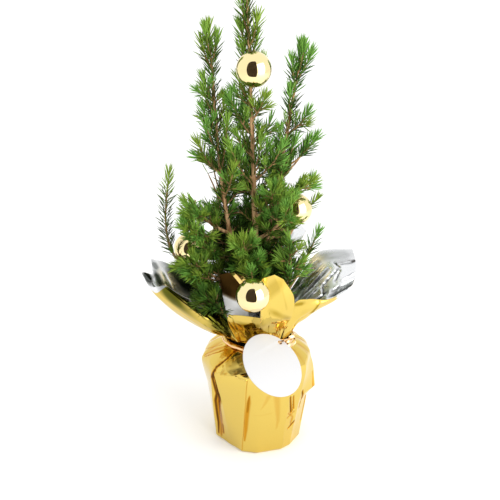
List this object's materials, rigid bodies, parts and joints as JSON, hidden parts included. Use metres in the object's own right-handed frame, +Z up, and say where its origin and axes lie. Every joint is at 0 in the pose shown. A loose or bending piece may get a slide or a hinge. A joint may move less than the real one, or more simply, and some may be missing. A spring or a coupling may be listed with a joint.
{
  "type": "potted dwarf spruce",
  "caption": "Young dwarf spruce with upright leaders in a nursery pot, gift wrapped in gold and silver foil with a tie and a blank round tag.",
  "frame": {"origin": "centre of the wrapped pot's flat underside", "axes": "+Z up along the trunk, -Y to the front with the tag, +X to the right seen from the front"},
  "size_m": [0.2054, 0.1723, 0.4436],
  "materials": {
    "plastic_pot": "matte",
    "compost": "rough, fibrous",
    "foil": "mirror metallised film, gold outside and silver inside",
    "ribbon": "metallic, pale copper gold",
    "card": "smooth matte",
    "bark": "rough, scaly",
    "needles": "satin"
  },
  "bodies": {
    "root": {"pot": "plastic_pot", "compost": "compost", "ribbon_tie": "ribbon", "ribbon_knot": "ribbon", "ribbon_end": "ribbon", "gift_tag": "card", "foil_bag": "foil", "foil_left": "foil", "foil_right": "foil", "foil_front": "foil", "foil_front_flap": "foil", "foil_back": "foil", "trunk": "bark", "stem_left": "bark", "stem_right": "bark", "bough_left_outer": "bark", "bough_left_upper": "bark", "bough_left_middle": "bark", "bough_left_low": "bark", "bough_left_front": "bark", "bough_right_upper": "bark", "bough_right_middle": "bark", "bough_right_outer": "bark", "bough_right_inner": "bark", "bough_right_back": "bark", "bough_right_rear": "bark", "bough_front": "bark", "bough_back_left": "bark", "bough_back_right": "bark", "bough_back_low_left": "bark", "bough_back_low_right": "bark", "needles_left_outer": "needles", "needles_left_upper": "needles", "needles_left_middle": "needles", "needles_left_low": "needles", "needles_left_front": "needles", "needles_right_upper": "needles", "needles_right_middle": "needles", "needles_right_outer": "needles", "needles_right_inner": "needles", "needles_right_back": "needles", "needles_right_rear": "needles", "needles_front": "needles", "needles_back_left": "needles", "needles_back_right": "needles", "needles_back_low_left": "needles", "needles_back_low_right": "needles", "needles_front_low": "needles", "needles_centre_back": "needles", "needles_left_top": "needles", "needles_right_top": "needles", "needles_trunk_top": "needles", "needles_trunk_upper": "needles", "needles_trunk_lower": "needles", "needles_left_upper_stem": "needles", "needles_left_lower_stem": "needles", "needles_right_stem": "needles"}
  },
  "joints": []
}
